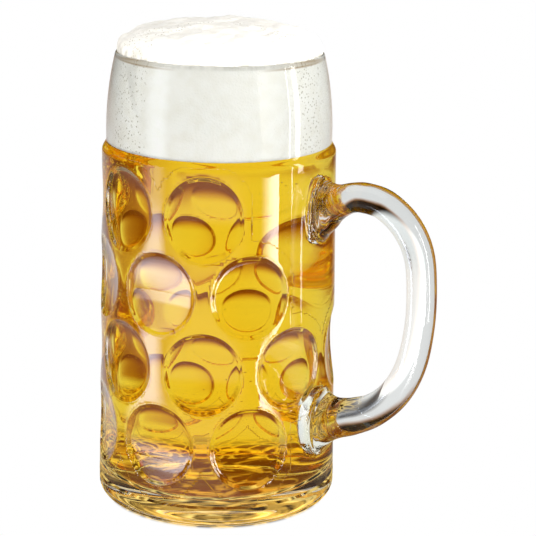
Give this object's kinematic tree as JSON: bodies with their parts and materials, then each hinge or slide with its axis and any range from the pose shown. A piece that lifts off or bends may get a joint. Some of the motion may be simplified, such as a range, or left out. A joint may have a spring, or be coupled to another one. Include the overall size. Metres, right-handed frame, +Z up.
{
  "type": "dimpled beer mug",
  "caption": "Dimpled glass beer mug with a smooth barrel collar and a fused loop handle, filled with golden beer under a foam head.",
  "frame": {"origin": "centre of the round foot, in the plane that it stands on", "axes": "+Z up the mug's axis to the rim, +X out through the handle, so the handle's loop lies in the XZ plane"},
  "size_m": [0.1571, 0.1062, 0.2128],
  "materials": {
    "clear_glass": "clear pressed glass, fire polished, faintly green in the thick base",
    "handle_glass": "clear pulled glass",
    "beer": "clear golden lager, darker where it is seen through more of it",
    "foam": "fine matt white foam with small bubbles at the glass"
  },
  "bodies": {
    "root": {"mug_body": "clear_glass", "handle": "handle_glass", "beer": "beer", "foam_head": "foam"}
  },
  "joints": []
}
